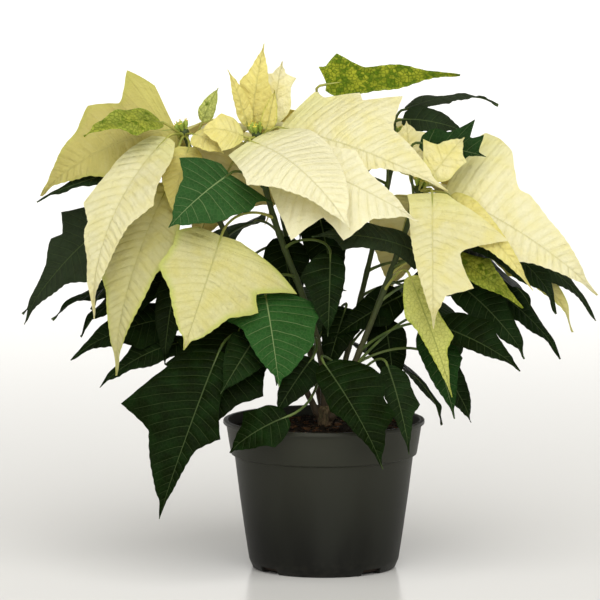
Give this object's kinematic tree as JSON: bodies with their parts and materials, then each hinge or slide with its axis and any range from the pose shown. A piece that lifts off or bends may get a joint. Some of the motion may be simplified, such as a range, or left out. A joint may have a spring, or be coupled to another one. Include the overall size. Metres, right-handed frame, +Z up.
{
  "type": "potted poinsettia",
  "caption": "Bushy poinsettia with large cream lobed bracts over dark green leaves, rooted in a tapered plastic nursery pot with a rim band.",
  "frame": {"origin": "middle of the pot's flat underside", "axes": "+Z up out of the pot, +X to the right in the front view, +Y to the back"},
  "size_m": [0.4777, 0.3257, 0.4306],
  "materials": {
    "pot_plastic": "dark grey-green moulded polypropylene with a soft sheen",
    "potting_soil": "dark peat with bark chips",
    "trunk_bark": "thin brown bark",
    "green_leaf": "dark green leaf with a satin surface and pale veins",
    "cream_bract": "cream bract, soft and slightly see-through",
    "flower_bud": "yellow-green buds"
  },
  "bodies": {
    "root": {"pot": "pot_plastic", "soil": "potting_soil", "trunk": "trunk_bark", "foliage_c": "green_leaf", "foliage_r": "green_leaf", "foliage_l": "green_leaf", "foliage_b": "green_leaf", "foliage_k": "green_leaf", "bracts_c": "cream_bract", "bracts_r": "cream_bract", "bracts_l": "cream_bract", "bracts_b": "cream_bract", "bracts_k": "cream_bract", "buds_c": "flower_bud", "buds_r": "flower_bud", "buds_l": "flower_bud", "buds_b": "flower_bud", "buds_k": "flower_bud"}
  },
  "joints": []
}
